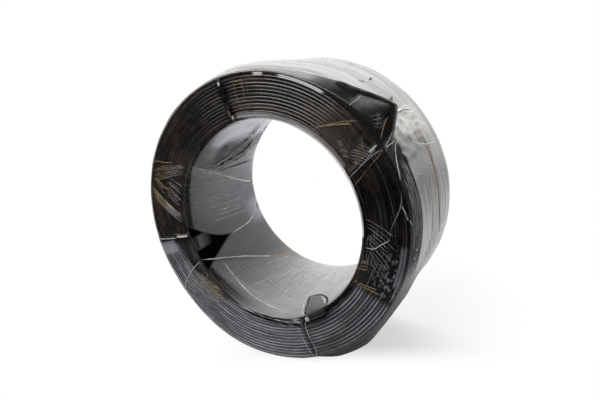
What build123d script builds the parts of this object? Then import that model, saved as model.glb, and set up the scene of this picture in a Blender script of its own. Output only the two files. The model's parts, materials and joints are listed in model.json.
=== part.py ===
from build123d import *
import math
import os

# A coil of wire rod, standing on its rim: one hot-rolled steel rod wound in flat layers, held by
# four sealed steel straps that each pass through the bore, and wrapped all over in stretch film.
# Millimetres. The coil's axis lies along Y, its front end faces -Y, and it stands on Z = 0.
# Angles are in degrees around the axis, from +X towards +Z, as seen from the front.

# The rod and how it is wound. Each layer nests a little into the hollows of the one below it.
ROD_DIAMETER = 5.5
LAYERS = 13
LAYER_PITCH = 5.07
TURNS_PER_LAYER = 38
COIL_BORE_RADIUS = 157.6
# Depth of the hollow between two layers, seen on the ends of the coil.
LAYER_HOLLOW_DEPTH = 1.65

# The rod's outer end, which springs straight off the rim: where it leaves, how long it is, and how
# many turns it lies in from the front end.
TAIL_ANGLE = 78.0
TAIL_LENGTH = 136.0
TAIL_TURNS_IN = 3
TAIL_TUCK = 0.3

# The four straps, and how far out the seal that joins each of them lies: 0 is by the bore and 1 is
# by the rim.
STRAP_ANGLES = (35.0, 111.0, 199.0, 293.5)
SEAL_PLACES = (0.6, 1.0, 0.0, 0.1)
STRAP_WIDTH = 9.5
STRAP_THICKNESS = 0.5
STRAP_SEAT_GAP = 0.3
STRAP_OVERLAP = 36.0
STRAP_END_MARGIN = 2.0
SEAL_LENGTH = 24.0
SEAL_WALL = 0.5
SEAL_CLEARANCE = 0.05

# The film, as wound: several layers with the air between them.
FILM_THICKNESS = 0.7
FILM_CLEARANCE = 0.3
# How far the film slopes away around each seal.
SEAL_TENT_SPREAD = 14.0
# The film's tent over the rod's outer end: its ridge runs over the rod, slopes fall from it by one
# drop to the front edge and to the rim behind, and it runs out a few degrees past the rod's tip.
TAIL_TENT_GAP = 0.8
TAIL_TENT_DROP = 37.0
TAIL_TENT_BACK = 58.0
TAIL_TENT_RUNOUT = 13.0

# What follows from the sizes above. Offsets are measured out from the coil's plain outline.
ROD_RADIUS = ROD_DIAMETER / 2
COIL_RADIUS = COIL_BORE_RADIUS + (LAYERS - 1) * LAYER_PITCH + ROD_DIAMETER
COIL_WIDTH = TURNS_PER_LAYER * ROD_DIAMETER
STRAP_INSIDE = STRAP_SEAT_GAP
STRAP_OUTSIDE = STRAP_INSIDE + STRAP_THICKNESS
SEAL_INSIDE = STRAP_SEAT_GAP
STRAP_FRONT_INSIDE = SEAL_INSIDE + SEAL_WALL + SEAL_CLEARANCE
STRAP_FRONT_OUTSIDE = STRAP_FRONT_INSIDE + STRAP_THICKNESS
OVERLAP_OUTSIDE = STRAP_FRONT_OUTSIDE + STRAP_THICKNESS
SEAL_OUTSIDE = OVERLAP_OUTSIDE + SEAL_CLEARANCE + SEAL_WALL
SEAL_WIDTH = STRAP_WIDTH + 2 * (SEAL_CLEARANCE + SEAL_WALL)
FILM_INSIDE = STRAP_OUTSIDE + FILM_CLEARANCE
FILM_FRONT_INSIDE = STRAP_FRONT_OUTSIDE + FILM_CLEARANCE
SEAL_TENT_RISE = SEAL_OUTSIDE - STRAP_FRONT_OUTSIDE
AXIS_HEIGHT = COIL_RADIUS + FILM_INSIDE + FILM_THICKNESS
FRONT_REACH = COIL_WIDTH / 2 + FILM_FRONT_INSIDE + SEAL_TENT_RISE + FILM_THICKNESS
BACK_REACH = COIL_WIDTH / 2 + FILM_INSIDE + FILM_THICKNESS
TAIL_ALONG = ROD_RADIUS + TAIL_TURNS_IN * ROD_DIAMETER - COIL_WIDTH / 2
TAIL_RADIUS = COIL_RADIUS - ROD_RADIUS - TAIL_TUCK
OVERLAP_REACH = STRAP_OVERLAP / 2 + STRAP_END_MARGIN
SEAL_LOWEST = COIL_BORE_RADIUS + OVERLAP_REACH
SEAL_HIGHEST = COIL_RADIUS - OVERLAP_REACH
SEAL_RADII = [SEAL_LOWEST + place * (SEAL_HIGHEST - SEAL_LOWEST) for place in SEAL_PLACES]


def outline(offset, front_offset, corner_cut=0.0):
    """Half section around the coil, grown by an offset, with another offset on the front end."""
    low, high = COIL_BORE_RADIUS - offset, COIL_RADIUS + offset
    front, back = -COIL_WIDTH / 2 - front_offset, COIL_WIDTH / 2 + offset
    section = make_face(Polyline((low, front), (high, front), (high, back), (low, back), close=True))
    return chamfer(section.vertices(), corner_cut) if corner_cut else section


def coil_section():
    """Half section of the wound rod: flat bore and rim, with a ridge for each layer on both ends."""
    crest = COIL_WIDTH / 2
    hollow = crest - LAYER_HOLLOW_DEPTH
    shoulder = crest - ROD_RADIUS
    front = [(COIL_BORE_RADIUS, -shoulder)]
    for layer in range(LAYERS):
        centre = COIL_BORE_RADIUS + ROD_RADIUS + layer * LAYER_PITCH
        front.append((centre, -crest))
        if layer < LAYERS - 1:
            front.append((centre + LAYER_PITCH / 2, -hollow))
    front.append((COIL_RADIUS, -shoulder))
    back = [(radius, -along) for radius, along in reversed(front)]
    return make_face(Polyline(front + back, close=True))


def turned(piece, angle):
    """Turns a piece drawn at +X to an angle around the coil's axis."""
    return Rotation(0, -angle, 0) * piece


def placed(piece):
    """Lifts a piece onto the floor, with the wrapped coil centred over the origin."""
    return Location((0, (FRONT_REACH - BACK_REACH) / 2, AXIS_HEIGHT)) * piece


def rod_tail():
    """The rod's outer end, straight from the rim."""
    start = Plane(origin=(TAIL_RADIUS, TAIL_ALONG, 0), z_dir=(0, 0, -1))
    return turned(extrude(start * Circle(ROD_RADIUS), TAIL_LENGTH), TAIL_ANGLE)


def wire_coil():
    return revolve(coil_section(), Axis.Y) + rod_tail()


def strap(angle, seal_radius):
    """One flat steel strap: a loop through the bore, doubled where its ends overlap in the seal."""
    bend = 2 - math.sqrt(2)
    outer = outline(STRAP_OUTSIDE, STRAP_FRONT_OUTSIDE, (ROD_RADIUS + STRAP_OUTSIDE) * bend)
    inner = outline(STRAP_INSIDE, STRAP_FRONT_INSIDE, (ROD_RADIUS + STRAP_INSIDE) * bend)
    loop = extrude(outer - inner, STRAP_WIDTH / 2, both=True)
    middle = -COIL_WIDTH / 2 - (STRAP_FRONT_OUTSIDE + OVERLAP_OUTSIDE) / 2
    overlap = Pos(seal_radius, middle, 0) * Box(STRAP_OVERLAP, STRAP_THICKNESS, STRAP_WIDTH)
    return turned(loop + overlap, angle)


def seal(angle, seal_radius):
    """The crimped sleeve that holds a strap's two ends."""
    along = -COIL_WIDTH / 2 - (SEAL_INSIDE + SEAL_OUTSIDE) / 2
    depth = SEAL_OUTSIDE - SEAL_INSIDE
    sleeve = Box(SEAL_LENGTH, depth, SEAL_WIDTH)
    sleeve -= Box(SEAL_LENGTH, depth - 2 * SEAL_WALL, SEAL_WIDTH - 2 * SEAL_WALL)
    return turned(Pos(seal_radius, along, 0) * sleeve, angle)


def seal_tent(seal_radius, offset, front_offset):
    """The low hump that a seal raises in the film on the front end, cut off by the rim and the bore."""
    # The foot starts inside the film, so that the hump joins it without an edge face.
    sink = FILM_THICKNESS / 2
    depth = SEAL_TENT_RISE + sink
    spread = SEAL_TENT_SPREAD * depth / SEAL_TENT_RISE
    length = SEAL_LENGTH + 2 * FILM_CLEARANCE
    width = SEAL_WIDTH + 2 * FILM_CLEARANCE
    foot = (length + 2 * spread, depth, width + 2 * spread)
    hump = Wedge(*foot, spread, spread, spread + length, spread + width, rotation=(180, 0, 0))
    middle = -COIL_WIDTH / 2 - front_offset - SEAL_TENT_RISE + depth / 2
    within = outline(offset - 2 * FILM_THICKNESS, FRONT_REACH)
    return (Pos(seal_radius, middle, 0) * hump) & revolve(within, Axis.Y)


def tail_tent(skin, front_offset):
    """The film's tent over the rod's outer end, drawn with the rod leaving the rim at +X."""
    ridge = TAIL_RADIUS + ROD_RADIUS + TAIL_TENT_GAP + skin
    tip = TAIL_LENGTH + TAIL_TENT_GAP + skin
    runout = math.atan2(tip, ridge) + math.radians(TAIL_TENT_RUNOUT)
    far = (COIL_RADIUS * math.cos(runout), -COIL_RADIUS * math.sin(runout))
    root = COIL_BORE_RADIUS
    side = Plane.XZ * Polyline((ridge, 0), (ridge, -tip), far, (root, 0), close=True)

    half_top = ROD_RADIUS + TAIL_TENT_GAP + skin
    top_front, top_back = TAIL_ALONG - half_top, TAIL_ALONG + half_top
    front, back = -COIL_WIDTH / 2 - front_offset, top_back + TAIL_TENT_BACK
    foot = ridge - TAIL_TENT_DROP
    slopes = Polyline((root, front), (foot, front), (ridge, top_front), (ridge, top_back), (foot, back),
                      (root, back), close=True)
    tent = extrude(make_face(side), COIL_WIDTH, both=True) & extrude(make_face(slopes), far[1])
    return turned(tent, TAIL_ANGLE)


def film_body(skin):
    """What the film encloses, or with its own thickness as the skin, its outer form."""
    offset, front_offset = FILM_INSIDE + skin, FILM_FRONT_INSIDE + skin
    body = revolve(outline(offset, front_offset), Axis.Y) + tail_tent(skin, front_offset)
    for angle, seal_radius in zip(STRAP_ANGLES, SEAL_RADII):
        body += turned(seal_tent(seal_radius, offset, front_offset), angle)
    return body


def film_wrap():
    return film_body(FILM_THICKNESS) - film_body(0)


os.makedirs("parts", exist_ok=True)
pieces = {"wire_coil": wire_coil(), "film_wrap": film_wrap()}
for number, place in enumerate(zip(STRAP_ANGLES, SEAL_RADII), start=1):
    pieces[f"strap_{number}"] = strap(*place)
    pieces[f"seal_{number}"] = seal(*place)
for name, piece in pieces.items():
    export_step(placed(piece), f"parts/{name}.step")
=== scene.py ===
import json
import math
import random

import bmesh
import bpy
from mathutils import Matrix, Vector, noise


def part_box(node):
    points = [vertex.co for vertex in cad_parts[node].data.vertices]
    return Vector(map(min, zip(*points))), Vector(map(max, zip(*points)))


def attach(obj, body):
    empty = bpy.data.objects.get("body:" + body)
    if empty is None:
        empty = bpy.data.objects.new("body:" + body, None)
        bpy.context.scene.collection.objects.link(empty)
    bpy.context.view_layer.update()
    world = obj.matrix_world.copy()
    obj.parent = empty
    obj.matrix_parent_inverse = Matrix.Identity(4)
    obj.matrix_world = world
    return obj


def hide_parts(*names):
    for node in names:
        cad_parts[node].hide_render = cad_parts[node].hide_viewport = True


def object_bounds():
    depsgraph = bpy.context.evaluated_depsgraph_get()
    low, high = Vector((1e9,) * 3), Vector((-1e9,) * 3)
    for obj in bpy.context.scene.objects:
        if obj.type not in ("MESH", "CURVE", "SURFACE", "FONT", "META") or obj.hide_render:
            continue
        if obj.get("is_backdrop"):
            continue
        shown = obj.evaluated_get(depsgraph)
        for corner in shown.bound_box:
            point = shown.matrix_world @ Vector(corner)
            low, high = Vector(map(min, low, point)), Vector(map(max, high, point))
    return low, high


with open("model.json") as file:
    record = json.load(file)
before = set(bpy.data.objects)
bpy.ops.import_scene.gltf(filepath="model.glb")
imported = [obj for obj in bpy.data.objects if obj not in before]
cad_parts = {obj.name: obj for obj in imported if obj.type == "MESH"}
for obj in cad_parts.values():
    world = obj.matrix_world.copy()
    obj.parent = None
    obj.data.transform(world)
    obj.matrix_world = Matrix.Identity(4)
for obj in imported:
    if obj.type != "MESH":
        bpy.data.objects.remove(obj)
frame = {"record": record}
cad_low, cad_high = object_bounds()

# The studio. The coil stands on a white sweep, under four soft boxes and in front of a white wall.
# The rest of the room is dark, so that the black rod keeps its depth and the film picks up the light.
film_low, film_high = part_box("film_wrap")
wrapped_radius = -film_low.x
axis_height = wrapped_radius
camera_azimuth, camera_elevation, camera_lens = math.radians(27.665), math.radians(18.241), 36.13
camera_place = Vector((1.96795, -3.72965, 2.40077)) * wrapped_radius
floor_size = 30.0
floor_white = (0.9, 0.9, 0.9, 1)
# How light the sweep looks from the coil in front, where it lies in the shade of the flags round the set.
floor_shade = (0.12, 0.12, 0.12, 1)
wall_white = (1.0, 1.0, 1.0, 1)
room_dark = (0.05, 0.05, 0.055, 1)
# The share of plain white in what the camera sees of the sweep, near the coil and away from it. Flags
# keep the coil's shadow off the sweep in front and to the left.
sweep_near, sweep_far = 0.5, 1.0
# Place, aim, size and power of each soft box.
soft_boxes = {
    "overhead_soft_box": ((-0.15, 0.35, 1.5), (0, 0, 0.3), (1.3, 1.3), 12),
    "front_soft_box": ((-0.50, -0.85, 1.57), (0, 0, 0.23), (1.9, 0.5), 24),
    "left_soft_box": ((-1.5, -0.5, 1.2), (0, 0, 0.25), (0.8, 0.8), 4),
    "right_soft_box": ((1.7, 0.6, 0.9), (0, 0, 0.2), (0.9, 0.9), 9),
}

scene = bpy.context.scene
scene.view_settings.view_transform = "Standard"
back = Vector((math.sin(camera_azimuth) * math.cos(camera_elevation),
               -math.cos(camera_azimuth) * math.cos(camera_elevation), math.sin(camera_elevation)))
camera = bpy.data.objects.new("camera", bpy.data.cameras.new("camera"))
camera.data.lens = camera_lens
camera.location = camera_place
camera.rotation_euler = back.to_track_quat("Z", "Y").to_euler()
scene.collection.objects.link(camera)
scene.camera = camera

for name, (place, aim, size, power) in soft_boxes.items():
    lamp = bpy.data.objects.new(name, bpy.data.lights.new(name, "AREA"))
    lamp.data.shape = "RECTANGLE"
    lamp.data.size, lamp.data.size_y = size
    lamp.data.energy = power
    lamp.location = place
    lamp.rotation_euler = (Vector(place) - Vector(aim)).to_track_quat("Z", "Y").to_euler()
    scene.collection.objects.link(lamp)


class Field:
    """A value that changes over a surface. Sums on it add Math nodes, and node() adds any other."""

    def __init__(self, tree, socket=None):
        self.tree, self.socket = tree, socket

    def node(self, kind, settings, sockets, output=0):
        """Adds a node: its settings first, then the values or links of its sockets."""
        made = self.tree.nodes.new(kind)
        for name, setting in settings.items():
            setattr(made, name, setting)
        for name, value in sockets.items():
            if isinstance(value, Field):
                self.tree.links.new(value.socket, made.inputs[name])
            else:
                made.inputs[name].default_value = value
        return Field(self.tree, made.outputs[output]) if made.outputs else None

    def maths(self, operation, *values):
        return self.node("ShaderNodeMath", {"operation": operation}, dict(enumerate(values)))

    def __add__(self, other):
        return self.maths("ADD", self, other)

    def __sub__(self, other):
        return self.maths("SUBTRACT", self, other)

    def __rsub__(self, other):
        return self.maths("SUBTRACT", other, self)

    def __mul__(self, other):
        return self.maths("MULTIPLY", self, other)

    def __truediv__(self, other):
        return self.maths("DIVIDE", self, other)

    def __pow__(self, other):
        return self.maths("POWER", self, other)

    __radd__, __rmul__ = __add__, __mul__

    def rise(self, low, high):
        """0 up to low and 1 from high on, or the other way round where high is the smaller."""
        ends = {"Value": self, "From Min": low, "From Max": high}
        return self.node("ShaderNodeMapRange", {"interpolation_type": "SMOOTHSTEP"}, ends)

    def within(self, low, high, soft):
        return self.rise(low - soft, low + soft) * self.rise(high + soft, high - soft)

    def or_more(self, other):
        return self.maths("MAXIMUM", self, other)

    def wrap(self, low, high):
        return self.maths("WRAP", self, high, low)

    def wave(self):
        """A sine wave, one for each 2 pi."""
        return self.maths("SINE", self)

    def split(self, axes="XYZ"):
        return (self.node("ShaderNodeSeparateXYZ", {}, {0: self}, axis) for axis in axes)

    def colours(self, first, second):
        """The first colour where this value is 0, and the second where it is 1."""
        return self.node("ShaderNodeMix", {"data_type": "RGBA"}, {0: self, 6: first, 7: second}, 2)

    def grain(self, x, y, z, detail=2.0, distortion=0.0):
        """Noise of about one grain for each unit of its three coordinates."""
        place = self.node("ShaderNodeCombineXYZ", {}, {0: x, 1: y, 2: z})
        sockets = {"Vector": place, "Scale": 1.0, "Detail": detail, "Distortion": distortion}
        return self.node("ShaderNodeTexNoise", {}, sockets)


def new_finish(name):
    """A material without nodes, and the start of its fields."""
    material = bpy.data.materials.new(name)
    material.use_nodes = True
    material.node_tree.nodes.clear()
    return material, Field(material.node_tree)


floor_finish, start = new_finish("white_sweep")
camera_ray = start.node("ShaderNodeLightPath", {}, {}, "Is Camera Ray")
middle = start.node("ShaderNodeTexCoord", {}, {}, "Object")
from_coil = start.node("ShaderNodeVectorMath", {"operation": "LENGTH"}, {0: middle}, "Value")
across, inwards = middle.split("XY")
unshaded = camera_ray.or_more(inwards.rise(0.1, 0.35))
paper = start.node("ShaderNodeBsdfDiffuse", {}, {"Color": unshaded.colours(floor_shade, floor_white)})
lit_front = (inwards * 0.886 - across * 0.464).rise(-0.07, -0.14)
lit_left = (across * 0.886 + inwards * 0.464).rise(0.0, -0.14)
away = from_coil.rise(0.25, 0.8).or_more(lit_front).or_more(lit_left)
plain = sweep_near + (sweep_far - sweep_near) * away
light_paper = start.node("ShaderNodeEmission", {}, {"Color": wall_white, "Strength": 1.0})
shown = start.node("ShaderNodeMixShader", {}, {0: camera_ray * plain, 1: paper, 2: light_paper})
start.node("ShaderNodeOutputMaterial", {}, {"Surface": shown})

floor_mesh = bmesh.new()
bmesh.ops.create_grid(floor_mesh, x_segments=1, y_segments=1, size=floor_size / 2)
floor = bpy.data.objects.new("floor", bpy.data.meshes.new("floor"))
floor_mesh.to_mesh(floor.data)
floor.data.materials.append(floor_finish)
scene.collection.objects.link(floor)
floor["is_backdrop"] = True

world = bpy.data.worlds.new("room")
world.use_nodes = True
world.node_tree.nodes.clear()
scene.world = world
start = Field(world.node_tree)
(behind,) = start.node("ShaderNodeTexCoord", {}, {}, "Generated").split("Y")
camera_ray = start.node("ShaderNodeLightPath", {}, {}, "Is Camera Ray")
seen = camera_ray.or_more(behind.rise(-0.1, 0.5))
room = start.node("ShaderNodeBackground", {}, {"Color": seen.colours(room_dark, wall_white)})
start.node("ShaderNodeOutputWorld", {}, {"Surface": room})

# The coil of rod: one length of hot-rolled steel, wound level in thirteen layers of thirty-eight
# turns. Its turns show as ridges on the ends, in the bore and on the rim, none of them quite even,
# and the outer end springs off the rim. Mill scale makes it black, and rust has begun on it.
rod_radius = 0.00275
layers, turns = 13, 38
coil_low, coil_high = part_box("wire_coil")
coil_radius = -coil_low.x
coil_front, coil_back = coil_low.y, coil_high.y
layer_pitch = 0.00507
bore_radius = coil_radius - 2 * rod_radius - (layers - 1) * layer_pitch
end_arc_points, side_arc_points = 7, 5
coil_steps = 176
slack_along, slack_across = 0.00045, 0.0002
# The lower front of the coil has slumped forward by this much, between these angles.
slump, slump_middle, slump_reach = 0.009, 274.0, 62.0


def at(angle, radius, along):
    """The point at an angle round the coil's axis, in degrees from +X towards +Z."""
    turn = math.radians(angle)
    return Vector((radius * math.cos(turn), along, axis_height + radius * math.sin(turn)))


def around(place):
    """The angle, from 0 to 360 degrees, and the distance of a point round the coil's axis."""
    height = place.z - axis_height
    return math.degrees(math.atan2(height, place.x)) % 360, math.hypot(place.x, height)


def apart(angle, other):
    """Degrees from the other angle to this one, from -180 to 180."""
    return (angle - other + 180) % 360 - 180


def ease(value, low, high):
    """0 up to low and 1 from high on, with a smooth rise between."""
    share = min(max((value - low) / (high - low), 0), 1)
    return share * share * (3 - 2 * share)


def slumped(angle, along):
    """How far forward the slack turns have moved at an angle and a place along the axis."""
    share = 1 - ease(abs(apart(angle, slump_middle)), 8, slump_reach)
    depth = (along - coil_front) / (coil_back - coil_front)
    return -slump * share * (1 - ease(depth, 0.0, 0.5))


def add_piece(name, mesh, finish, *nodes):
    """Makes a smooth piece of a bmesh, which rides on the coil and stands for CAD nodes."""
    piece = bpy.data.objects.new(name, bpy.data.meshes.new(name))
    mesh.to_mesh(piece.data)
    mesh.free()
    piece.data.shade_smooth()
    piece.data.materials.append(finish)
    scene.collection.objects.link(piece)
    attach(piece, "root")
    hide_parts(*nodes)
    return piece


def closed_path(mesh, points):
    """Vertices joined to a ring, for a spin."""
    made = [mesh.verts.new(point) for point in points]
    return made + [mesh.edges.new(pair) for pair in zip(made, made[1:] + made[:1])]


def rod_ridges(first, towards, outwards, count, pitch, points):
    """Points over a row of rods, from hollow to hollow. Each rod shows as an arc."""
    reach = math.asin(min(pitch / (2 * rod_radius), 1))
    for rod in range(count):
        for step in range(points - 1):
            turn = reach * (2 * step / (points - 1) - 1)
            middle = first + towards * rod * pitch
            yield middle + rod_radius * (towards * math.sin(turn) + outwards * math.cos(turn))


coil_mesh = bmesh.new()
corner = rod_radius
x_axis, y_axis = Vector((1, 0, 0)), Vector((0, 1, 0))
inner_front = Vector((bore_radius + corner, coil_front + corner, axis_height))
inner_back = Vector((bore_radius + corner, coil_back - corner, axis_height))
outer_front = Vector((coil_radius - corner, coil_front + corner, axis_height))
outer_back = Vector((coil_radius - corner, coil_back - corner, axis_height))
turn_pitch = (coil_back - coil_front) / turns
section = [
    *rod_ridges(inner_front, x_axis, -y_axis, layers, layer_pitch, end_arc_points),
    *rod_ridges(outer_front, y_axis, x_axis, turns, turn_pitch, side_arc_points),
    *rod_ridges(outer_back, -x_axis, y_axis, layers, layer_pitch, end_arc_points),
    *rod_ridges(inner_back, -y_axis, -x_axis, turns, turn_pitch, side_arc_points),
]
centre = Vector((0, 0, axis_height))
bmesh.ops.spin(coil_mesh, geom=closed_path(coil_mesh, section), cent=centre, axis=y_axis, dvec=(0, 0, 0),
               angle=2 * math.pi, steps=coil_steps, use_merge=True)
bmesh.ops.remove_doubles(coil_mesh, verts=coil_mesh.verts, dist=1e-6)
bmesh.ops.recalc_face_normals(coil_mesh, faces=coil_mesh.faces)
for vertex in coil_mesh.verts:
    angle, radius = around(vertex.co)
    along = vertex.co.y
    turn = math.radians(angle)
    layer = round((radius - bore_radius - rod_radius) / layer_pitch)
    row = round((along - coil_front - rod_radius) / turn_pitch)
    loose = noise.noise((2.2 * math.cos(turn), 2.2 * math.sin(turn), 3.7 * layer + 0.5 * row))
    high = noise.noise((1.9 * math.cos(turn), 1.9 * math.sin(turn), 5.1 * row + 40))
    vertex.co = at(angle, radius + slack_across * high, along + slack_along * loose + slumped(angle, along))

# The free end is bent a little towards the coil, and lies a few turns in from the front.
free_end_leaves, free_end_bend, free_end_sweep = 88.0, 0.590, 17.2
free_end_along = coil_front + rod_radius + 3 * turn_pitch
free_end_radius = coil_radius - rod_radius
bend_centre = at(free_end_leaves, free_end_radius - free_end_bend, free_end_along)
end_ring = bmesh.ops.create_circle(coil_mesh, segments=14, radius=rod_radius, cap_ends=True)["verts"]
turned_out = Matrix.Translation(at(free_end_leaves, free_end_radius, free_end_along))
turned_out @= Matrix.Rotation(math.radians(-free_end_leaves), 4, "Y")
bmesh.ops.transform(coil_mesh, matrix=turned_out, verts=end_ring)
end_faces = list({face for vertex in end_ring for face in vertex.link_faces})
bmesh.ops.spin(coil_mesh, geom=end_faces, cent=bend_centre, axis=y_axis, dvec=(0, 0, 0),
               angle=math.radians(free_end_sweep), steps=16)

steel_black = (0.0030, 0.0029, 0.0028, 1)
steel_scale = (0.014, 0.0135, 0.013, 1)
rust_brown = (0.050, 0.027, 0.012, 1)
rod_finish, start = new_finish("mill_scale_and_rust")
place = start.node("ShaderNodeTexCoord", {}, {}, "Object")
place = start.node("ShaderNodeMapping", {}, {"Vector": place, "Location": (0, 0, -axis_height)})
x, along, z = place.split()
from_axis = (x * x + z * z) ** 0.5
round_x, round_z = x / from_axis, z / from_axis
# Marks run along the rod, two or so of them side by side on each turn.
rod_across = (from_axis / layer_pitch + along / turn_pitch) * 2.2
marks = start.grain(round_x * 15, round_z * 15, rod_across, detail=4.0)
mottle = start.grain(x * 120, along * 120, z * 120, detail=3.0)
patches = start.grain(round_x * 3.0, round_z * 3.0, rod_across * 0.16 + 20, detail=3.0)
rusty = (patches * 0.7 + marks * 0.3 + mottle * 0.25).rise(0.57, 0.78)
scaly = (marks * 0.6 + mottle * 0.4).rise(0.42, 0.72)
base = rusty.colours(scaly.colours(steel_black, steel_scale), rust_brown)
bumps = start.node("ShaderNodeBump", {}, {"Strength": 0.3, "Distance": 0.0003, "Height": marks + mottle})
steel = start.node("ShaderNodeBsdfPrincipled", {}, {
    "Base Color": base, "Metallic": 0.3 - 0.3 * rusty, "Roughness": 0.26 + 0.3 * rusty, "Normal": bumps,
    "Coat Weight": 0.5, "Coat Roughness": 0.08})
start.node("ShaderNodeOutputMaterial", {}, {"Surface": steel})
add_piece("wire_rod_coil", coil_mesh, rod_finish, "wire_coil")

# The four ties: flat blued steel strapping pulled tight round the coil's section, through the bore. The
# two ends lap on the front end, where a seal, a folded sleeve of the same steel, is crimped over them.
strap_angles = (35.0, 111.0, 199.0, 293.5)
strap_width, strap_thickness = 0.0095, 0.0005
strap_gap, seal_wall, seal_play = 0.0003, 0.0005, 0.00005
strap_bend, seal_corner = 0.0042, 0.0006
lap_length, seal_length, seal_steps = 0.036, 0.024, 16
crimps, crimp_depth = (-0.0065, 0.0065), 0.0011
seal_radii = []


def add_tie_part(name, mesh, angle, node):
    """Turns a piece drawn at +X to its strap's angle, lets it follow the slack, and adds it."""
    for vertex in mesh.verts:
        off_strap, radius = around(vertex.co)
        vertex.co = at(angle + off_strap, radius, vertex.co.y + slumped(angle, vertex.co.y))
    bmesh.ops.recalc_face_normals(mesh, faces=mesh.faces)
    add_piece(name, mesh, strap_finish, node)


def drawn_out(mesh, edges, move):
    """Extrudes edges by a move, and returns the new edges."""
    made = bmesh.ops.extrude_edge_only(mesh, edges=edges)["geom"]
    new_verts = [part for part in made if isinstance(part, bmesh.types.BMVert)]
    bmesh.ops.translate(mesh, verts=new_verts, vec=move)
    return [part for part in made if isinstance(part, bmesh.types.BMEdge)]


def strip(mesh, path_edges, width, thickness):
    """Gives a path of edges its width along Z and then its thickness."""
    drawn_out(mesh, path_edges, (0, 0, width))
    bmesh.ops.recalc_face_normals(mesh, faces=mesh.faces)
    bmesh.ops.solidify(mesh, geom=mesh.faces[:], thickness=thickness)
    bmesh.ops.translate(mesh, verts=mesh.verts, vec=(0, 0, -width / 2))


strap_finish, start = new_finish("blued_strap_steel")
spot = start.node("ShaderNodeTexCoord", {}, {}, "Object")
x, along, z = spot.split()
wear = start.grain(x * 260, along * 260, z * 260, detail=5.0)
stain = start.grain(x * 45, along * 45, z * 45, detail=3.0)
tarnish = (stain * 0.7 + wear * 0.4).rise(0.5, 0.72)
blued = wear.rise(0.35, 0.7).colours((0.008, 0.008, 0.010, 1), (0.03, 0.031, 0.035, 1))
bumps = start.node("ShaderNodeBump", {}, {"Strength": 0.3, "Distance": 0.0002, "Height": wear})
strap_steel = start.node("ShaderNodeBsdfPrincipled", {}, {
    "Base Color": tarnish.colours(blued, (0.035, 0.019, 0.010, 1)), "Metallic": 0.7 - 0.6 * tarnish,
    "Roughness": 0.28 + 0.3 * tarnish, "Normal": bumps})
start.node("ShaderNodeOutputMaterial", {}, {"Surface": strap_steel})

for number, angle in enumerate(strap_angles, start=1):
    seal_low, seal_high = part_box(f"seal_{number}")
    seal_middle = (seal_low + seal_high) / 2
    seal_radius = around(seal_middle)[1]
    seal_radii.append(seal_radius)

    strap_mesh = bmesh.new()
    front_stand = strap_gap + seal_wall + seal_play + strap_thickness
    loop = [Vector((radius, along, axis_height)) for radius, along in (
        (coil_radius + strap_gap, coil_front - front_stand),
        (bore_radius - strap_gap, coil_front - front_stand),
        (bore_radius - strap_gap, coil_back + strap_gap),
        (coil_radius + strap_gap, coil_back + strap_gap))]
    closed_path(strap_mesh, loop)
    bmesh.ops.bevel(strap_mesh, geom=strap_mesh.verts[:], offset=strap_bend, segments=5, profile=0.5,
                    affect="VERTICES")
    long_edges = [edge for edge in strap_mesh.edges if edge.calc_length() > 0.01]
    bmesh.ops.subdivide_edges(strap_mesh, edges=long_edges, cuts=15)
    strip(strap_mesh, strap_mesh.edges[:], strap_width, strap_thickness)
    lap = bmesh.new()
    lap_along = coil_front - front_stand - strap_thickness
    ends = [lap.verts.new((seal_radius + step * lap_length / 12, lap_along, axis_height))
            for step in range(-6, 7)]
    strip(lap, [lap.edges.new(pair) for pair in zip(ends, ends[1:])], strap_width, strap_thickness)
    lap_piece = bpy.data.meshes.new("lap")
    lap.to_mesh(lap_piece)
    strap_mesh.from_mesh(lap_piece)
    add_tie_part(f"strap_loop_{number}", strap_mesh, angle, f"strap_{number}")

    # The seal wraps the two straps, and is bitten in at two places on each side.
    seal_mesh = bmesh.new()
    seal_front, seal_back = seal_low.y, coil_front - strap_gap
    half = strap_width / 2 + seal_play + seal_wall
    ring = [Vector((seal_radius - seal_length / 2, along, axis_height + side)) for along, side in (
        (seal_front, -half), (seal_back, -half), (seal_back, half), (seal_front, half))]
    closed_path(seal_mesh, ring)
    bmesh.ops.bevel(seal_mesh, geom=seal_mesh.verts[:], offset=seal_corner, segments=2, profile=0.5,
                    affect="VERTICES")
    rim_edges = seal_mesh.edges[:]
    for step in range(seal_steps):
        rim_edges = drawn_out(seal_mesh, rim_edges, (seal_length / seal_steps, 0, 0))
    for vertex in seal_mesh.verts:
        for crimp in crimps:
            bite = 1 - ease(abs(vertex.co.x - seal_radius - crimp), 0.0007, 0.0026)
            vertex.co.z -= math.copysign(crimp_depth * bite, vertex.co.z - axis_height)
    bmesh.ops.recalc_face_normals(seal_mesh, faces=seal_mesh.faces)
    bmesh.ops.solidify(seal_mesh, geom=seal_mesh.faces[:], thickness=seal_wall * 0.8)
    add_tie_part(f"crimped_seal_{number}", seal_mesh, angle, f"seal_{number}")

# The stretch film: thin clear film wound in bands through the bore and round the rim, several layers
# deep. It lies flat from band edge to band edge in the bore, sinks into the hollows between the rods
# on the ends, and is pulled up to a tent over the rod's free end.
film_front, film_back = film_low.y + 0.00105, film_high.y
film_bore = frame["record"]["mounts"][0]["dims"]["r_mm"] / 1000
film_corner = 0.003
film_steps = 480
face_width, film_width = wrapped_radius - film_bore, film_back - film_front
film_length = 2 * (face_width + film_width)
bore_starts, back_starts, rim_starts = face_width, face_width + film_width, 2 * face_width + film_width
# The crest of the innermost layer of rod on the front end, and the seals.
crest_place = wrapped_radius - bore_radius - rod_radius
seal_places = [wrapped_radius - radius for radius in seal_radii]
# How far apart the points lie along the end, the bore, the back and the rim of the film's section.
point_spacings = (0.00127, 0.0036, 0.0055, 0.0030)
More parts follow.
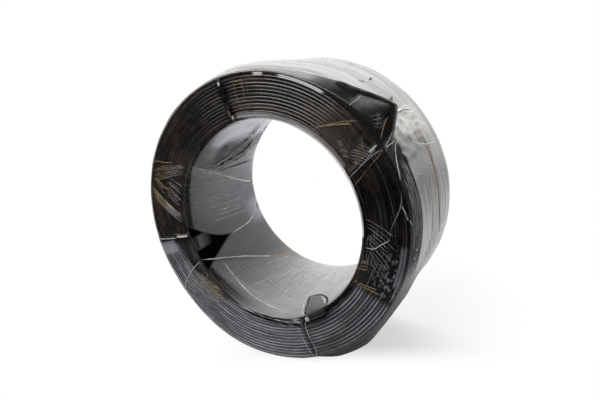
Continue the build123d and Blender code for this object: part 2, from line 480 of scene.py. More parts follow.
# Where the bands of film in the bore meet, at the front and at the back edge of the coil.
bore_band_edges = ((-8, -14), (22, 16), (52, 44), (84, 78), (112, 120), (156, 184), (209, 209), (218, 247),
                   (281, 283), (312, 308), (338, 336))
tent_from, tent_tip, tent_behind, tent_height = 33.5, 44.8, 0.060, 0.043
# The rod under the tent lies between these distances from the front edge.
ridge_front, ridge_back = 0.0165, 0.0225
# How far the film stands off at a pucker, over a strap, over a seal, in a fold of slack and in the
# scrunched edge in the bore, in the crumple beside the rod's tip, and where the outer layers are slack.
pucker_rise, strap_rise, seal_rise, fold_rise = 0.0004, 0.0009, 0.0012, 0.0013
scrunch_rise, crumple_rise, slack_rise = 0.0030, 0.0042, 0.0150


def film_place(radius, along):
    """The distance round the film's section, from the rim's front edge and over the front end."""
    sides = {
        abs(along - film_front): wrapped_radius - radius,
        abs(radius - film_bore): bore_starts + along - film_front,
        abs(film_back - along): back_starts + radius - film_bore,
        abs(wrapped_radius - radius): film_length - (along - film_front),
    }
    return sides[min(sides)] % film_length


def band_sag(angle, share):
    """How far a band of film stands in from the bore, as a flat strip across a hollow."""
    edges = [front + (rear - front) * share for front, rear in bore_band_edges]
    edges.append(edges[0] + 360)
    angle = (angle - edges[0]) % 360 + edges[0]
    for low, high in zip(edges, edges[1:]):
        if low <= angle <= high:
            half, off = math.radians(high - low) / 2, math.radians(angle - (low + high) / 2)
            return film_bore * (1 - math.cos(half) / math.cos(off)) * 0.5 * (1 - (2 * share - 1) ** 4)
    return 0.0


def tent(angle, depth):
    """How far the film stands out from the rim at an angle and a distance behind the front edge."""
    if not tent_from < angle < free_end_leaves:
        return 0.0
    turn = math.radians(free_end_leaves - angle)
    if angle < tent_tip:
        high = tent_height * ((angle - tent_from) / (tent_tip - tent_from)) ** 1.3
    else:
        middle = free_end_radius - free_end_bend
        reach = middle * math.cos(turn) + math.sqrt(free_end_bend ** 2 - (middle * math.sin(turn)) ** 2)
        high = max(reach + 1.5 * rod_radius - wrapped_radius, 0)
        high -= 0.00012 * max(49 - angle, 0) ** 2
    if depth < ridge_front:
        return high * depth / ridge_front
    return high * (1 - ease(depth, ridge_back, ridge_back + tent_behind * high / tent_height + 0.006))


def puckers(angle, place):
    """How far small puckers and folds lift the film."""
    turn = math.radians(angle)
    around_x, around_z = math.cos(turn), math.sin(turn)
    depth, over = film_length - place, place - bore_starts
    lift = pucker_rise * noise.noise((6 * around_x, 6 * around_z, 30 * place))
    if place < face_width:
        lift += 0.00035 * (math.cos(2 * math.pi * (place - crest_place) / layer_pitch) - 1)
        for strap_angle, seal_place in zip(strap_angles, seal_places):
            beside = math.radians(abs(apart(angle, strap_angle))) * (wrapped_radius - place)
            lift += strap_rise * (1 - ease(beside, 0.003, 0.009))
            on_seal = 1 - ease(abs(place - seal_place), seal_length / 2, seal_length / 2 + 0.006)
            lift += seal_rise * on_seal * (1 - ease(beside, 0.005, 0.011))
    elif place < back_starts:
        lift += band_sag(angle, over / film_width)
        # Slack gathered into folds that run back from the front of the first band.
        drift = (163 - angle) / 26 - (over / film_width - 0.31) / 0.44
        slack = ease(angle, 132, 142) * (1 - ease(angle, 156, 166)) * ease(over, 0.045, 0.075)
        slack *= 1 - ease(over, 0.150, 0.178)
        wander = 2 * noise.noise((9 * around_x, 9 * around_z, 8 * over))
        lift += fold_rise * slack * math.sin(46 * drift + wander)
        # The scrunched edge of that band at the back.
        scrunch = ease(angle, 130, 140) * (1 - ease(angle, 153, 162)) * ease(over, 0.165, 0.185)
        lift += scrunch_rise * scrunch * noise.noise((34 * around_x, 34 * around_z, 160 * over))
    elif place < rim_starts:
        lift += 0.0006 * noise.noise((12 * around_x, 12 * around_z, 60 * place))
    else:
        lift += 0.0007 * noise.noise((5 * around_x, 5 * around_z, 70 * depth))
        # Crumpled film beside the tip of the rod.
        crumple = ease(angle, 26, 31) * (1 - ease(angle, 43, 50)) * ease(depth, 0.035, 0.060)
        crumple *= 1 - ease(depth, 0.150, 0.205)
        lift += crumple_rise * crumple * (noise.noise((28 * around_x, 28 * around_z, 45 * depth)) + 0.25)
        # Slack outer layers stand off the rim at the top left, and beside the floor on the right.
        for middle, flat, reach, front_low, front_high, back_low, back_high in (
                (124, 4, 36, 0.012, 0.075, 0.110, 0.205), (307, 5, 25, 0.0, 0.022, 0.145, 0.211)):
            slack = 1 - ease(abs(apart(angle, middle)), flat, reach)
            slack *= ease(depth, front_low, front_high) * (1 - ease(depth, back_low, back_high))
            lift += slack_rise * slack
    return lift


def film_surface(angle, place, lift=0.0):
    """The point of the film at an angle and a distance over the section, lifted off by some more."""
    place %= film_length
    sides = ((0.0, wrapped_radius, film_front, -1, 0), (bore_starts, film_bore, film_front, 0, 1),
             (back_starts, film_bore, film_back, 1, 0), (rim_starts, wrapped_radius, film_back, 0, -1),
             (film_length, wrapped_radius, film_front, -1, 0))
    start_place, radius, along, step_out, step_along = max(side for side in sides if side[0] <= place)
    radius += step_out * (place - start_place)
    along += step_along * (place - start_place)
    out, front_out = -step_along, step_out
    for number, (corner_place, corner_radius, corner_along, _, _) in enumerate(sides):
        if abs(place - corner_place) < film_corner:
            # Here the film rounds a corner of the section.
            turn = math.pi / 4 * ((place - corner_place) / film_corner + 1)
            into = (-1, 1, 1, -1, -1)[number], (1, 1, -1, -1, 1)[number]
            ends = ((math.cos, math.sin), (math.sin, math.cos))[number % 2]
            away_radius, away_along = -into[0] * ends[0](turn), -into[1] * ends[1](turn)
            radius = corner_radius + into[0] * film_corner + away_radius * film_corner
            along = corner_along + into[1] * film_corner + away_along * film_corner
            out, front_out = away_radius, away_along
            break
    rise = puckers(angle, place) + lift
    if place > rim_starts:
        rise += tent(angle, film_length - place)
    if place > rim_starts and abs(apart(angle, 270)) < 16:
        # The coil stands on the film here, which presses it flat.
        rise = min(rise, 0.0)
    return at(angle, radius + out * rise, along + front_out * rise + slumped(angle, along))


film_mesh = bmesh.new()
corners = [Vector((radius, along, axis_height)) for radius, along in (
    (wrapped_radius, film_front), (film_bore, film_front),
    (film_bore, film_back), (wrapped_radius, film_back))]
closed_path(film_mesh, corners)
bmesh.ops.bevel(film_mesh, geom=film_mesh.verts[:], offset=film_corner, segments=3, profile=0.5,
                affect="VERTICES")
for side, spacing in enumerate(point_spacings):
    middle = (corners[side] + corners[(side + 1) % 4]) / 2
    edge = min(film_mesh.edges, key=lambda item: ((item.verts[0].co + item.verts[1].co) / 2 - middle).length)
    bmesh.ops.subdivide_edges(film_mesh, edges=[edge], cuts=round(edge.calc_length() / spacing) - 1)
bmesh.ops.spin(film_mesh, geom=film_mesh.verts[:] + film_mesh.edges[:], cent=centre, axis=y_axis,
               dvec=(0, 0, 0), angle=2 * math.pi, steps=film_steps, use_merge=True)
bmesh.ops.remove_doubles(film_mesh, verts=film_mesh.verts, dist=1e-6)
bmesh.ops.recalc_face_normals(film_mesh, faces=film_mesh.faces)
round_layer = film_mesh.verts.layers.float.new("round")
over_layer = film_mesh.verts.layers.float.new("over")
for vertex in film_mesh.verts:
    angle, radius = around(vertex.co)
    vertex[round_layer], vertex[over_layer] = angle, film_place(radius, vertex.co.y)
sheet_map = film_mesh.loops.layers.uv.new("film_map")
for face in film_mesh.faces:
    angles = [vertex[round_layer] for vertex in face.verts]
    places = [vertex[over_layer] for vertex in face.verts]
    for loop, angle, place in zip(face.loops, angles, places):
        seam = 360 if max(angles) - angle > 180 else 0
        wrap = film_length if max(places) - place > film_length / 2 else 0
        loop[sheet_map].uv = ((angle + seam) / 360, (place + wrap) / film_length)
for vertex in film_mesh.verts:
    vertex.co = film_surface(vertex[round_layer], vertex[over_layer])

film_finish, start = new_finish("clear_stretch_film")
sheet_place = start.node("ShaderNodeUVMap", {"uv_map": "film_map"}, {})
share_round, share_over = sheet_place.split("XY")
place = share_over * film_length
# Degrees round the axis, from 0 to 360 and from -180 to 180.
angle = (share_round * 360).wrap(0.0, 360.0)
signed = angle.wrap(-180.0, 180.0)
depth = film_length - place
share = (place - bore_starts) / film_width
face = place.rise(bore_starts + 0.0015, bore_starts - 0.0015)
rim = place.rise(rim_starts - 0.002, rim_starts + 0.002)
bore = place.within(bore_starts, back_starts, 0.0015)
back_end = place.within(back_starts, rim_starts, 0.0015)
mottle = start.grain(angle * 0.5, place * 130, 2.0, detail=4.0)
lines = start.grain(angle * 0.16, place * 620, 1.0, detail=3.0)
rings = (((place - crest_place) / layer_pitch + 0.25) * (2 * math.pi)).wave()
# How strongly the film clings to each ring of rod and how much sheen is painted along its crest, both of
# which change from ring to ring.
crest_haze_and_sheen = (0.5 + 0.5 * rings) ** 1.7
cling = start.grain(angle * 0.035, place * 197, 14.0, detail=2.0).rise(0.34, 0.66)
hairs = start.grain(angle * 0.02, place * 560, 17.0, detail=2.0).rise(0.56, 0.68)

# The front end. The film is clear where it lies on the rods, and grey where a looser band hangs.
outer_part = place.rise(0.045 + (angle - 203) * 0.00052, 0.034 + (angle - 203) * 0.00052)
low_left = angle.within(201, 293, 2) * outer_part
# A painted glow on the outer part of the front end, just past the third tie.
painted_glow_left = angle.within(199.8, 206, 0.8) * place.rise(0.040, 0.030)
pocket_side = angle.within(290, 311, 4) * place.rise(0.052, 0.056)
low_right = angle.within(294, 334, 2) * place.rise(0.062, 0.057) * (1 - pocket_side)
spotted = angle.within(337, 357, 3) * place.rise(0.055, 0.02) * mottle.rise(0.5, 0.58)
inner_band = angle.within(38, 107, 2) * place.within(0.0600, 0.0665, 0.001)
# A painted highlight along the inner edge of the front end, round the top.
painted_inner_edge_highlight = signed.within(7, 103, 4) * place.rise(0.0655, 0.0675)
brown_dust = angle.within(37, 62, 3) * place.within(0.018, 0.062, 0.004) * (0.3 + 0.7 * mottle.rise(0.4, 0.6))
# A painted reflection of the front soft box: a strip near the rim at the top of the front end, made milky and
# pale.
painted_soft_box_reflection = angle.within(65, 84, 1.5).or_more(angle.within(90.5, 94.5, 0.8))
painted_soft_box_reflection = painted_soft_box_reflection * place.within(0.0036, 0.0080, 0.0006)
pocket_edge = 0.0572 + (angle - 302) * (angle - 302) * 0.000075
pocket = angle.within(297.6, 312.5, 0.6) * place.rise(pocket_edge, pocket_edge + 0.001)
blue_patch = angle.within(343, 359.5, 1.5) * place.rise(0.0135, 0.0105)
ring_haze = crest_haze_and_sheen * (0.35 + 0.65 * cling)
face_haze = 0.008 + 0.36 * hairs
for haze, part in (
        (0.30 + 0.50 * ring_haze + 0.7 * (lines - 0.5), low_left), (0.18 + 0.55 * ring_haze, low_right),
        (0.62, painted_glow_left), (0.5, spotted), (0.40, brown_dust), (0.92, painted_soft_box_reflection), (0.92, pocket),
        (0.62, blue_patch), (0.6, inner_band), (0.9, painted_inner_edge_highlight)):
    face_haze = face_haze.or_more(haze * part)
face_tone = 0.36 + (0.10 + 0.50 * cling) * crest_haze_and_sheen + 0.6 * (lines - 0.5) + 0.55 * painted_inner_edge_highlight
face_tone = face_tone + 0.25 * painted_glow_left - 0.06 * low_right + 0.9 * painted_soft_box_reflection
# Lighter at the bottom, from 246 to 296 degrees.
face_tone = face_tone + 0.16 * angle.within(246, 296, 14)
# The painted highlights: the soft box's reflection, the lit inner edge and the band of film beside it.
painted_highlights = painted_soft_box_reflection.or_more(painted_inner_edge_highlight).or_more(inner_band)
# Darker round the top and the left, from 20 to 196 degrees, except under the painted highlights, and
# near-black in the pocket.
face_tone = face_tone * (1 - 0.55 * angle.within(20, 196, 6) * (1 - painted_highlights)) * (1 - 0.90 * pocket)

# The bore: three bands of milky film, with a gap between the second and the third where the black rod shows,
# painted black with the shade deep in it, and a clear window beside the last tie.
first_edge = 156 + 28 * share
second_edge = 193 + share * (62 - 54 * share)
third_edge = 203 + 21 * (1 - share).or_more(0.0) ** 1.6
gap = angle.rise(second_edge - 0.8, second_edge + 0.8) * angle.rise(third_edge + 1, third_edge - 1)
window_low = 297.5 - 36 * share
window_high = 313.0 - 60 * share
window = angle.rise(window_low - 0.6, window_low + 0.6) * angle.rise(window_high + 0.6, window_high - 0.6)
window = window * share.rise(0.350, 0.340)
clear_front = share.rise(0.075, 0.045) * angle.rise(262, 236)
streaks = start.grain(angle * 1.3, share * 2.2, 3.0, detail=5.0)
fan = start.grain(angle * 1.2 - share * 14, share * 1.5, 6.0, detail=4.0)
cross_streaks = start.grain(angle * 0.10, share * 55, 9.0, detail=3.0)
first_band = angle.rise(first_edge + 0.6, first_edge - 0.6)
# Painted light: the upper left of the bore is made much paler.
painted_glow_upper_left = angle.within(119, 139, 7) * share.rise(0.04, 0.30)
# Painted light: the lower right of the bore is made paler, and so is the back of the bore on the left,
# between 196 and 212 degrees.
painted_light_lower_right = angle.rise(228, 284) * (0.55 + 0.45 * share)
painted_light_at_back = share.rise(0.72, 0.98) * angle.within(196, 212, 4)
drift = (163 - angle) / 26 - (share - 0.31) / 0.44
# Painted shade in the folds of slack, which follow the same folds that lift the film.
painted_fold_shade = (drift * 46).wave().rise(0.1, 0.9) * angle.within(138, 160, 5) * share.within(0.27, 0.74, 0.06)
lit_strip = angle.within(201.5, 209.5, 1) * share.rise(0.24, 0.05)
painted_gap_shade = gap * (1 - lit_strip)
bore_haze = 0.94 - 0.80 * clear_front * (1 - painted_gap_shade)
bore_tone = 0.18 + 0.05 * share + 0.05 * first_band + 3.2 * painted_glow_upper_left + 0.52 * painted_light_lower_right + 0.24 * painted_light_at_back
bore_tone = bore_tone - 0.12 * angle.rise(188, 214)
bore_tone = bore_tone * (0.30 + 0.7 * (streaks + fan)) * (0.6 + 0.8 * cross_streaks) * (1 - 0.75 * painted_fold_shade)
bore_tone = bore_tone * (1 - window) + 0.05 * window

# The rim. Where the inner layers are pulled tight the rods show dark through them, and behind that
# lies a grey band, a line of trapped dust, and the milky outer layers.
right_side = signed.within(-60, 37, 5)
dark_edge = 0.060 - 0.0003 * signed
clear_strip = depth.rise(dark_edge + 0.003, dark_edge - 0.003) * signed.within(-12, 38, 8)
grey_strip = depth.rise(0.160, 0.146) * right_side
dust = depth.within(0.142, 0.152, 0.004) * signed.within(-6, 38, 5)
tent_left = 37 + depth * 90
tent_right = 48 + (0.123 - depth) * 270
in_tent = signed.rise(tent_left - 1, tent_left + 1) * signed.rise(tent_right + 1.5, tent_right - 1.5)
in_tent = in_tent * signed.rise(78, 66)
# The front edge of the rim, where the film is still clear and dark layers show through.
edge_dark = depth.rise(0.040, 0.004) * signed.within(38, 150, 8)
bands = start.grain(signed * 0.02, depth * 75, 5.0, detail=4.0)
fine_bands = start.grain(signed * 0.05, depth * 420, 8.0, detail=3.0)
crumpled = signed.within(34, 46, 3) * depth.within(0.075, 0.190, 0.02)
rim_haze = 0.93 - 0.40 * clear_strip - 0.04 * in_tent - 0.08 * edge_dark
rim_haze = rim_haze + 0.35 * (bands - 0.5) * (1 - in_tent)
blue_rim = signed.within(-18, -1, 1.5) * depth.rise(0.018, 0.015)
rim_haze = rim_haze.or_more(0.62 * blue_rim)
rim_tone = 0.41 - 0.15 * grey_strip - 0.04 * right_side - 0.205 * clear_strip - 0.20 * edge_dark
rim_tone = rim_tone + 0.18 * crumpled
# Painted light: the rim on the right, from about the level of the axis down, is made paler. Under the tent
# the film is painted near-black, for the shade beneath it.
rim_tone = (rim_tone + 0.12 * signed.rise(10, -14)) * (1 - in_tent) + 0.030 * in_tent
rim_tone = rim_tone * (0.25 + 0.8 * bands + 0.7 * fine_bands)

back_tone = 0.26 + 0.12 * rings + 0.12 * cling + 0.3 * (lines - 0.5)
haze = face * face_haze + bore * bore_haze + rim * rim_haze + (0.22 + 0.30 * cling) * back_end
tone = face * face_tone + bore * bore_tone + rim * rim_tone + back_tone * back_end
cool, warm, brown = (0.90, 0.91, 1.0, 1), (1.0, 0.985, 0.955, 1), (0.66, 0.48, 0.32, 1)
# The rim, the lower bore and the painted highlights on the front end are tinted warm.
warmth = (bore * angle.rise(215, 262)).or_more(rim * (1 - blue_rim)).or_more(face * painted_highlights)
browned = brown_dust.or_more(0.8 * hairs * angle.within(20, 196, 6)) * (1 - painted_highlights)
tint = (dust * rim).or_more(face * browned).colours(warmth.colours(cool, warm), brown)
shaded = start.node("ShaderNodeMix", {"data_type": "RGBA", "blend_type": "MULTIPLY"}, {
    0: 1.0, 6: tint, 7: tone.colours((0, 0, 0, 1), (1, 1, 1, 1))}, 2)
relief = face * rings * 0.5 + lines * 0.6 * (1 - rim) + bore * (streaks + fan) * 0.8
relief = relief + rim * (bands + fine_bands * 0.6) * (1 - in_tent)
bumps = start.node("ShaderNodeBump", {}, {"Strength": 0.35, "Distance": 0.0006, "Height": relief})
sheen = start.node("ShaderNodeBsdfPrincipled", {}, {
    "Base Color": shaded, "Roughness": 0.22, "Alpha": haze, "IOR": 1.5, "Normal": bumps})
# Painted shade, a black mixed into the film: deep between two bands, where the light doesn't come back out,
# and in part under tented film, on the tight film along the front of the rim and on the right of the front
# end.
painted_black_shade = start.node("ShaderNodeBsdfDiffuse", {}, {"Color": (0.002, 0.002, 0.003, 1)})
painted_shade_share = (bore * painted_gap_shade).or_more(rim * (0.42 * in_tent).or_more(0.72 * clear_strip))
painted_shade_share = painted_shade_share.or_more(0.45 * face * signed.within(-14, 27, 7))
seen_film = start.node("ShaderNodeMixShader", {}, {0: painted_shade_share, 1: sheen, 2: painted_black_shade})
start.node("ShaderNodeOutputMaterial", {}, {"Surface": seen_film})
add_piece("film_wrapping", film_mesh, film_finish, "film_wrap")

# The film's creases: thin raised ridges where it was pulled tight, gathered or stuck to itself. Most are
# milky, and some short milky marks are painted glints. Those that hold rust dust are brown. The black ones
# are painted shade in slits, deep folds and gaps, and a few are dark parts seen under the film.
milky, faint, thin = (0.88, 0.89, 0.87, 1.0), (0.7, 0.7, 0.7, 0.5), (0.6, 0.6, 0.6, 0.28)
dusty, deep = (0.46, 0.33, 0.18, 0.9), (0.0, 0.0, 0.0, 0.95)
# The colours of each kind at its two ends.
crease_kinds = {
    "milky": (milky, milky), "faint": (faint, faint), "thin": (thin, thin), "dusty": (dusty, dusty),
    "deep": (deep, deep), "gilded": (dusty, faint)}
# Where each side starts, and which way its distances run: in millimetres from the front edge, or on the
# front end from the rim.
crease_sides = {"end": (0.0, 1), "bore": (bore_starts, 1), "rim": (film_length, -1)}
crease_height, crease_step, crease_wander = 0.0007, 0.0022, 0.0006
# Half the width of a crease whose width is given as 1.
crease_half_width = 1 / 1750
# Side, kind, width, and the points that the crease runs through: degrees round the axis and distance.
creases = [
    # The tie by the tent, and the film pinched together over it.
    # A painted glint on the film over the tie.
    ("end", "milky", 1.9, (38.3, 5), (38.0, 12), (37.6, 21)),
    ("end", "faint", 0.9, (37.8, 8), (34.9, 38), (32.1, 68)),
    ("end", "dusty", 0.8, (35.1, 6), (32.1, 36), (27.9, 65)),
    ("end", "milky", 0.6, (36.2, 5), (35.4, 30), (33.0, 64)),
    ("end", "dusty", 0.7, (39.6, 3), (37.4, 28), (34.4, 66)),
    ("rim", "milky", 0.8, (36.5, 46), (36.2, 20), (36.0, 4)),
    ("rim", "milky", 0.8, (39.1, 15.6), (37.5, 11.6), (36.4, 3)),
    ("rim", "dusty", 0.9, (43.6, 12), (42.4, 9), (38.9, 2.5)),
    ("rim", "deep", 3.0, (44.4, 10.6), (43.2, 11.6)),
    # Stuck dust and scratches on the front end, with painted glints where the film rises over the second and
    # third ties.
    ("end", "dusty", 1.5, (61.3, 52.6), (56.3, 38), (53.2, 27), (49.7, 14)),
    ("end", "dusty", 0.8, (49, 6), (55, 30), (62, 58)),
    ("end", "dusty", 0.9, (162.7, 4), (161.0, 12), (160.2, 24), (157.4, 42)),
    # A painted glint.
    ("end", "milky", 2.4, (110.4, 7.5), (110.7, 14)),
    ("end", "deep", 2.2, (112.4, 2), (112.0, 10), (112.2, 20)),
    ("end", "dusty", 2.0, (110.6, 51), (109.4, 67)),
    # A painted glint.
    ("end", "milky", 1.6, (108.8, 60), (109.2, 68)),
    ("end", "milky", 1.1, (198.0, 1), (198.4, 15), (199.0, 45)),
    # A painted glint.
    ("end", "milky", 3.2, (198.3, 44), (198.8, 55), (199.1, 67)),
    ("end", "dusty", 1.0, (196.8, 40), (197.6, 56), (198.4, 68)),
    ("end", "milky", 1.3, (216.1, 69), (217.7, 42.5), (221.4, 11), (223.1, 6)),
    ("end", "faint", 0.9, (224.6, 69), (226.2, 52), (229.4, 20)),
    # The last tie, with the pocket of clear film beside it, painted glints and lines of painted shade round
    # it.
    ("end", "milky", 1.3, (296.1, 62), (295.2, 53), (294.7, 33), (295.2, 11), (294.0, 1)),
    ("end", "milky", 0.8, (290.0, 57), (291.5, 22), (293.6, 1)),
    # A painted glint.
    ("end", "milky", 5.5, (297.2, 58.5), (297.3, 67)),
    # A painted glint.
    ("end", "milky", 2.6, (288.9, 63.8), (292.0, 60.6)),
    ("end", "milky", 1.0, (252, 68.6), (273, 66.5), (289, 61.5)),
    ("end", "deep", 3.4, (254, 66.0), (273, 64.0), (288, 58.8), (293.4, 55)),
    ("end", "deep", 3.0, (262, 69), (276, 68), (288.5, 66)),
    ("end", "deep", 5.0, (309.0, 65.5), (320.8, 64.6), (335, 62.4)),
    ("end", "deep", 2.0, (298.2, 61), (301.9, 57), (308.5, 59.6), (313, 66)),
    ("bore", "deep", 2.2, (297.2, 1), (293.7, 19), (285.0, 73)),
    ("bore", "deep", 2.6, (285.0, 73.4), (293.0, 71), (300.0, 55), (305.0, 38), (312.5, 1)),
    ("bore", "milky", 1.0, (299.5, 50), (303.0, 38), (307.0, 18)),
    ("bore", "milky", 1.0, (295.9, 2), (291.8, 19), (283.6, 67), (281.4, 106)),
    # A painted glint.
    ("bore", "milky", 2.8, (309.3, 30.4), (308.2, 33.4)),
    ("end", "milky", 0.6, (281.5, 62.7), (289.4, 56.8)),
    ("end", "milky", 0.5, (240.5, 3), (242, 14)),
    # The right of the front end, where a fold runs in over the rim.
    ("end", "faint", 1.0, (20.7, 1), (15.2, 7.8), (9.7, 19.4), (5.5, 27), (1.7, 28)),
    ("end", "milky", 0.9, (1.7, 28), (-1.2, 40.7), (-3.8, 50), (-4.5, 64)),
    ("end", "milky", 1.0, (15.1, 6.4), (12.4, 3.0), (9.6, 0.6)),
    ("rim", "milky", 0.9, (9.6, 2), (8.2, 7), (6.9, 12.4)),
    # The bore: the fold between the first two bands, the gathered slack above it with lines of painted shade
    # in its folds, and the far edge.
    ("bore", "milky", 1.7, (155.1, 5), (166.7, 84), (179.9, 167), (184.5, 208)),
    ("bore", "milky", 0.9, (158.8, 21), (167.9, 85), (172, 120)),
    ("bore", "deep", 1.8, (160.6, 61), (147.3, 125), (130.3, 151)),
    ("bore", "deep", 2.6, (163.3, 72), (153.7, 147), (137.3, 181)),
    ("bore", "deep", 1.7, (165.4, 83), (157.7, 158), (144.7, 190)),
    ("bore", "deep", 2.2, (166.6, 95), (166.1, 143), (166.7, 200)),
    ("bore", "deep", 1.4, (153.1, 89), (144.4, 128), (131.6, 148)),
    ("bore", "milky", 1.4, (162.2, 66), (149.5, 130), (132.5, 158)),
    ("bore", "milky", 1.2, (165, 78), (156, 152), (141, 185)),
    ("bore", "milky", 1.0, (158, 60), (146, 116), (128, 140)),
    ("bore", "dusty", 3.0, (135, 186), (146, 196), (157, 203)),
    ("bore", "milky", 1.2, (197.4, 206), (204.5, 194), (209.7, 161), (210.8, 100)),
    ("bore", "milky", 1.5, (215.8, 2), (227, 87), (239, 154)),
    ("bore", "dusty", 2.4, (239, 154), (247, 206)),
    ("bore", "milky", 1.3, (222.7, 45), (235.8, 35.5), (251.8, 26.7), (264.1, 23), (282.9, 19.4)),
    ("bore", "milky", 0.8, (248.4, 41), (254.3, 109)),
    ("bore", "milky", 0.8, (241.3, 116), (246.6, 190)),
    ("bore", "milky", 1.1, (281, 110), (283, 200)),
    # The rim: the bare end of the rod, drawn black with the shade in the gap under the film, its ridge edged
    # with painted shade, and the crumpled film that falls from its tip.
    ("rim", "deep", 8.0, (64.0, 17.5), (59.5, 13.8), (55.1, 11.2)),
    ("rim", "deep", 2.6, (56, 14.0), (53.7, 15.0), (49.7, 15.8), (46.8, 16.7), (43.8, 17.7)),
    ("rim", "dusty", 2.2, (43.7, 18), (43.2, 50), (41.5, 84)),
    ("rim", "faint", 1.0, (53.9, 13), (54.4, 6), (54.8, 1)),
    ("rim", "milky", 1.1, (38.6, 85), (34.9, 40), (30.8, 20), (24, 3)),
    ("rim", "dusty", 1.5, (38.6, 85), (37.2, 66), (35.9, 50)),
    ("rim", "milky", 1.3, (44.0, 90), (45.5, 125), (46.0, 165), (43.8, 207)),
    ("rim", "faint", 1.5, (45.0, 100), (44.4, 130), (42.2, 168), (43.8, 207)),
    ("rim", "milky", 1.2, (37.7, 88), (35.7, 92), (32.3, 111), (29.8, 135), (28.6, 166), (27.6, 202)),
    ("rim", "faint", 1.2, (40.6, 200), (38.6, 174), (37.2, 126), (36.1, 98)),
    ("rim", "milky", 1.2, (44.5, 96), (41.5, 112), (38.0, 120)),
    ("rim", "milky", 1.2, (45.0, 96), (42.8, 125), (40.2, 150)),
    ("rim", "deep", 1.0, (44.8, 110), (44.9, 140), (43.5, 175)),
    ("rim", "dusty", 1.6, (31.3, 140), (28.6, 156), (20.3, 150), (14.1, 145), (1.6, 151), (-10.5, 170)),
    ("rim", "dusty", 1.0, (30.3, 146), (25.6, 149), (18.0, 146), (8.0, 150)),
    ("rim", "faint", 1.1, (23.7, 115), (22.7, 127), (21.8, 139)),
    ("rim", "faint", 1.0, (22.1, 65), (20.7, 88)),
    ("rim", "milky", 2.8, (-4.4, 33), (-3.8, 38)),
    ("rim", "milky", 2.4, (-6.8, 28), (-7.3, 33)),
    ("rim", "milky", 3.2, (-16.8, 146), (-16.2, 153)),
    ("rim", "milky", 2.0, (-11.2, 30), (-11.7, 34)),
    # Tears, with the dark inner film showing, drawn black with painted shade.
    ("rim", "deep", 1.8, (65.2, 116), (63.2, 119), (63.6, 126)),
    ("rim", "deep", 2.6, (62.9, 146), (63.3, 155), (64.0, 162)),
    ("rim", "deep", 2.6, (49.4, 122), (50.4, 136), (52.4, 152)),
    ("rim", "deep", 2.2, (51.6, 131), (50.9, 143)),
]
# Side, kind, width and number of a fan of creases, with the ends of its first and its last one.
crease_fans = [
    ("end", "gilded", 0.6, 11, (165.6, 3), (154.6, 68), (172.4, 4), (160.4, 68)),
    ("end", "gilded", 0.6, 11, (172.5, 3), (187.0, 67), (177.0, 4), (191.0, 65)),
    ("end", "faint", 0.55, 7, (166, 36), (169, 68), (175, 36), (182, 67)),
    ("end", "dusty", 0.5, 5, (168, 8), (176, 34), (170, 16), (173, 44)),
    ("end", "faint", 0.7, 10, (217.5, 66), (222.4, 12), (238, 67), (237, 26)),
    ("end", "faint", 0.7, 10, (217.5, 44), (236, 67), (222, 9), (247, 58)),
    ("end", "dusty", 0.6, 7, (222, 68), (224, 40), (243, 68), (241, 44)),
    ("end", "dusty", 0.6, 7, (219, 52), (238, 68), (224, 34), (245, 60)),
    ("end", "dusty", 0.55, 3, (104, 3), (103.4, 44), (97.6, 5), (97.2, 46)),
    ("end", "dusty", 0.45, 6, (107, 12), (97, 16), (107, 60), (96, 58)),
    ("end", "faint", 0.6, 9, (50.1, 49.4), (47.4, 40.3), (42.9, 58), (40.3, 48)),
    ("end", "dusty", 0.5, 6, (45, 12), (36, 34), (42, 30), (34, 58)),
    ("end", "faint", 0.6, 7, (36, 10), (44, 30), (33, 30), (40, 55)),
    ("end", "faint", 0.6, 11, (11.4, 65), (1.7, 18), (-8, 62), (-19, 22)),
    ("end", "faint", 0.6, 4, (7.3, 46), (0.7, 47), (3, 60), (-6, 60)),
    ("end", "faint", 0.6, 8, (-4, 66), (-16, 64), (-8, 30), (-20, 34)),
    ("end", "dusty", 0.9, 5, (343, 68), (344, 50), (348, 66), (349, 52)),
    ("end", "dusty", 0.8, 7, (334.2, 64), (337.4, 60), (334.4, 20), (337.6, 16)),
    ("end", "dusty", 0.8, 3, (333.6, 62), (336.6, 22), (335.6, 62), (338.4, 24)),
    ("bore", "faint", 0.8, 9, (164, 8), (153, 62), (176, 7), (172, 100)),
    ("bore", "faint", 0.75, 15, (168, 14), (168, 90), (190, 14), (199, 205)),
    ("bore", "milky", 0.6, 8, (174, 30), (176, 130), (198, 60), (203, 190)),
    ("bore", "faint", 0.8, 13, (236, 40), (243, 130), (276, 40), (280, 200)),
    ("bore", "faint", 0.6, 12, (228, 60), (270, 48), (250, 190), (280, 150)),
    ("bore", "milky", 0.8, 5, (254, 60), (258, 190), (274, 40), (277, 195)),
    ("bore", "faint", 0.6, 6, (292, 90), (284, 200), (306, 100), (296, 204)),
    ("rim", "faint", 0.8, 4, (14, 167), (12, 206), (20, 167), (17, 206)),
    ("rim", "faint", 0.8, 4, (28, 165), (27, 206), (31, 160), (31, 206)),
    ("rim", "faint", 0.8, 7, (-12, 14), (31, 20), (-14, 60), (31, 42)),
    ("rim", "thin", 0.5, 4, (47.4, 3), (45, 10), (44, 2), (41.7, 8)),
    ("rim", "thin", 0.5, 4, (47, 9), (43, 1.5), (44.5, 11), (41.5, 4)),
    ("rim", "faint", 1.1, 9, (62, 100), (118, 96), (66, 204), (120, 200)),
    ("rim", "faint", 0.8, 6, (-20, 120), (20, 112), (-24, 204), (22, 204)),
    ("rim", "deep", 0.8, 9, (70, 10), (116, 6), (68, 60), (118, 40)),
]


def crease_line(points, share):
    """The place at a share of a smooth line through the points."""
    spot = share * (len(points) - 1)
    number = min(int(spot), len(points) - 2)
    before, here, ahead, after = (Vector(points[min(max(number + step, 0), len(points) - 1)])
                                  for step in (-1, 0, 1, 2))
    t = spot - number
    bend = 2 * before - 5 * here + 4 * ahead - after
    twist = 3 * here - before - 3 * ahead + after
    return here + 0.5 * ((ahead - before) * t + bend * t ** 2 + twist * t ** 3)


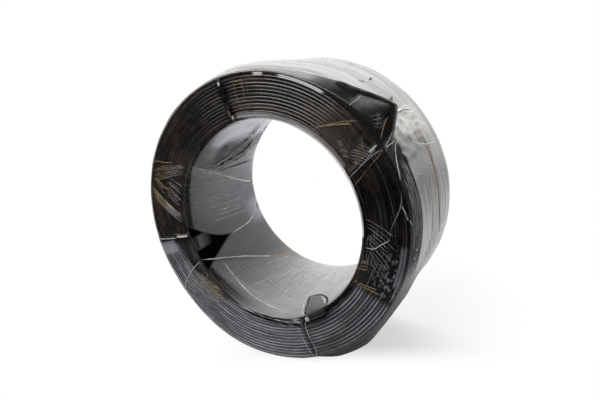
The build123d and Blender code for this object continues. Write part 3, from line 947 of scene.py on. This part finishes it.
def add_crease(mesh, side, kind, width, points):
    """Lays one ridge along its points, narrower towards both ends."""
    start_place, step = crease_sides[side]
    first_colour, last_colour = (Vector(colour) for colour in crease_kinds[kind])
    middle = crease_line(points, 0.5)
    radius = {"end": wrapped_radius - middle.y / 1000, "bore": film_bore, "rim": wrapped_radius}[side]
    per_degree = math.radians(1) * radius
    first, last = Vector(points[0]), Vector(points[-1])
    reach = math.hypot((last.x - first.x) * per_degree, (last.y - first.y) / 1000)
    pieces = max(round(reach / crease_step), 4)
    for vertex in bmesh.ops.create_grid(mesh, x_segments=pieces, y_segments=2, size=1)["verts"]:
        share, off = (vertex.co.x + 1) / 2, vertex.co.y
        here = crease_line(points, share)
        ahead = crease_line(points, min(share + 0.02, 1)) - crease_line(points, max(share - 0.02, 0))
        run = Vector((ahead.x * per_degree, ahead.y / 1000)).normalized()
        taper = min(1, 0.35 + 5 * share, 0.35 + 5 * (1 - share))
        wander = crease_wander * noise.noise((here.x * 0.35, here.y * 0.08, 7 * width))
        aside = off * width * crease_half_width * taper + wander
        angle = here.x - aside * run.y / per_degree
        place = start_place + step * (here.y / 1000 + aside * run.x)
        lift = 0.0003 + (crease_height * taper * (1 - abs(off)) if kind != "deep" else 0.00015 * width)
        if side == "end":
            # A crease bridges the hollows between the rods.
            lift += 0.00035 * (1 - math.cos(2 * math.pi * (place - crest_place) / layer_pitch))
        vertex.co = film_surface(angle, place, lift)
        broken = 0.8 + 0.7 * noise.noise((here.x * 0.3, here.y * 0.06, 30 * width + points[0][0]))
        colour = first_colour.lerp(last_colour, ease(share, 0.35, 0.75))
        vertex[crease_colour] = (*colour[:3], min(colour[3] * taper * broken, 1))


crease_mesh = bmesh.new()
crease_colour = crease_mesh.verts.layers.float_color.new("crease_colour")
for side, kind, width, *points in creases:
    add_crease(crease_mesh, side, kind, width, points)
chance = random.Random(11)
for side, kind, width, count, *ends in crease_fans:
    first_start, first_end, last_start, last_end = (Vector(end) for end in ends)
    for number in range(count):
        share = (number + chance.uniform(-0.18, 0.18)) / (count - 1)
        begin = first_start.lerp(last_start, share)
        finish = first_end.lerp(last_end, share + chance.uniform(-0.025, 0.025))
        cut_start, cut_end = chance.uniform(0, 0.2), chance.uniform(0.75, 1)
        middle = begin.lerp(finish, 0.5) + Vector((chance.uniform(-0.4, 0.4), 0))
        points = [begin.lerp(finish, cut_start), middle, begin.lerp(finish, cut_end)]
        add_crease(crease_mesh, side, kind, width, points)
bmesh.ops.recalc_face_normals(crease_mesh, faces=crease_mesh.faces)

crease_finish, start = new_finish("creased_film")
shade = start.node("ShaderNodeAttribute", {"attribute_name": "crease_colour"}, {}, "Color")
cover = start.node("ShaderNodeAttribute", {"attribute_name": "crease_colour"}, {}, "Alpha")
crease_surface = start.node("ShaderNodeBsdfPrincipled", {}, {
    "Base Color": shade, "Alpha": cover, "Roughness": 0.8 - 0.5 * shade,
    "Specular IOR Level": 0.2})
start.node("ShaderNodeOutputMaterial", {}, {"Surface": crease_surface})
add_piece("film_creases", crease_mesh, crease_finish)

size = {"cad": [list(cad_low), list(cad_high)], "visual": [list(corner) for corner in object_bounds()]}
